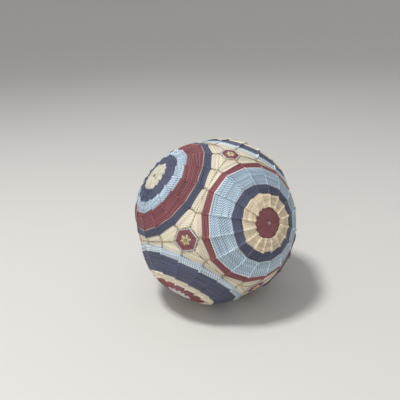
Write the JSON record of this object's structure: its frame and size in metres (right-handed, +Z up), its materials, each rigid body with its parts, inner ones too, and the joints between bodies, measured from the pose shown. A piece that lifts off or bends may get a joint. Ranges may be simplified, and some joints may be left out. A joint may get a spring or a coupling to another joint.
{
  "type": "temari ball",
  "caption": "Thread-wound ball covered with stitched round motifs of concentric colour bands, with small hexagons between them, on a small flat spot.",
  "frame": {"origin": "middle of the flat spot that the ball rests on", "axes": "+Z up through the middle of the ball, +Y away from the viewer of the picture, +X to the viewer's right"},
  "size_m": [0.0876, 0.0892, 0.0867],
  "materials": {
    "wound": "fine wound thread",
    "burgundy": "stitched twisted thread",
    "cream": "stitched twisted thread",
    "navy": "stitched twisted thread",
    "sky": "stitched twisted thread",
    "gold": "metallic marking thread"
  },
  "bodies": {
    "root": {"field_front_left_top": "cream", "field_front_left_under": "cream", "field_front_right_top": "cream", "field_front_right_under": "cream", "field_rear_left_top": "cream", "field_rear_left_under": "cream", "field_rear_right_top": "cream", "field_rear_right_under": "cream", "front_1_burgundy": "burgundy", "front_2_cream": "cream", "front_3_navy": "navy", "front_4_sky": "sky", "front_5_burgundy": "burgundy", "hexagon_front_left_top": "burgundy", "hexagon_front_left_under": "burgundy", "hexagon_front_right_top": "burgundy", "hexagon_front_right_under": "burgundy", "hexagon_rear_left_top": "burgundy", "hexagon_rear_left_under": "burgundy", "hexagon_rear_right_top": "burgundy", "hexagon_rear_right_under": "burgundy", "left_1_cream": "cream", "left_2_navy": "navy", "left_3_sky": "sky", "left_4_burgundy": "burgundy", "left_5_navy": "navy", "rear_1_burgundy": "burgundy", "rear_2_cream": "cream", "rear_3_navy": "navy", "rear_4_sky": "sky", "rear_5_burgundy": "burgundy", "right_1_cream": "cream", "right_2_navy": "navy", "right_3_sky": "sky", "right_4_burgundy": "burgundy", "right_5_navy": "navy", "star_front_left_top": "gold", "star_front_left_under": "gold", "star_front_right_top": "gold", "star_front_right_under": "gold", "star_rear_left_top": "gold", "star_rear_left_under": "gold", "star_rear_right_top": "gold", "star_rear_right_under": "gold", "top_1_sky": "sky", "top_2_burgundy": "burgundy", "top_3_cream": "cream", "top_4_navy": "navy", "top_5_sky": "sky", "under_1_sky": "sky", "under_2_burgundy": "burgundy", "under_3_cream": "cream", "under_4_navy": "navy", "under_5_sky": "sky", "wound_ball": "wound"}
  },
  "joints": []
}
